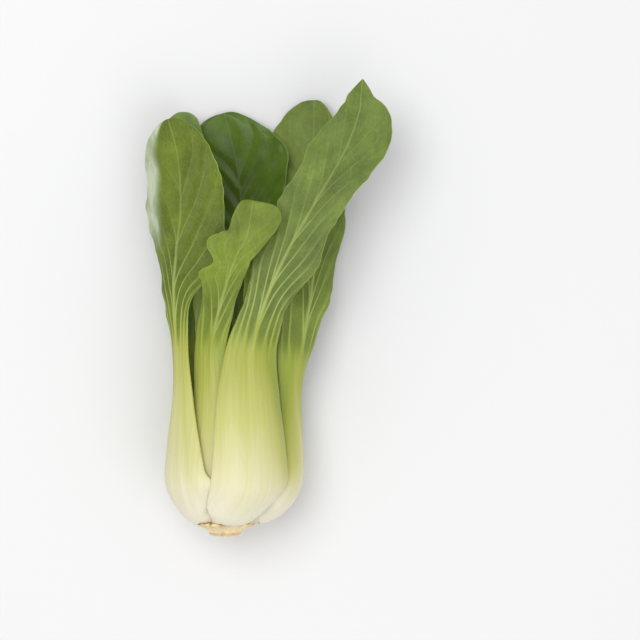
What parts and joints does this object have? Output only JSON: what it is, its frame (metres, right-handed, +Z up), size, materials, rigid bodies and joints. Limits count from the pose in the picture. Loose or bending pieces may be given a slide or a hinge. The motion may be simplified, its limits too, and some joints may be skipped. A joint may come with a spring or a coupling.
{
  "type": "bok choy",
  "caption": "Whole head of leafy green cut at the root and lying down: thick pale spoon-shaped stalks nest in a bulb and spread into rounded, waved green blades.",
  "frame": {"origin": "middle of the head's bounding box, on the surface that the head lies on", "axes": "+Y along the head from the cut root to the leaf tips, +X to the right seen from above, +Z up from the surface"},
  "size_m": [0.1308, 0.2418, 0.0694],
  "materials": {
    "leaf": "living leaf, satin and slightly waxy: cream-white at the base of the stalk, yellow-green at its shoulder, mid green on the blade with paler veins",
    "inner_leaf": "young leaf, satin: pale yellow-green stalk and a light green blade",
    "crown": "dull dried cut stem, straw to light brown, with darker leaf scars"
  },
  "bodies": {
    "root": {"crown": "crown", "leaf_front": "leaf", "leaf_left": "leaf", "leaf_middle": "leaf", "leaf_back": "leaf", "leaf_right": "leaf", "leaf_back_left": "leaf", "inner_right": "inner_leaf", "inner_back": "inner_leaf", "inner_left": "inner_leaf", "heart_right": "inner_leaf", "heart_left": "inner_leaf"}
  },
  "joints": []
}
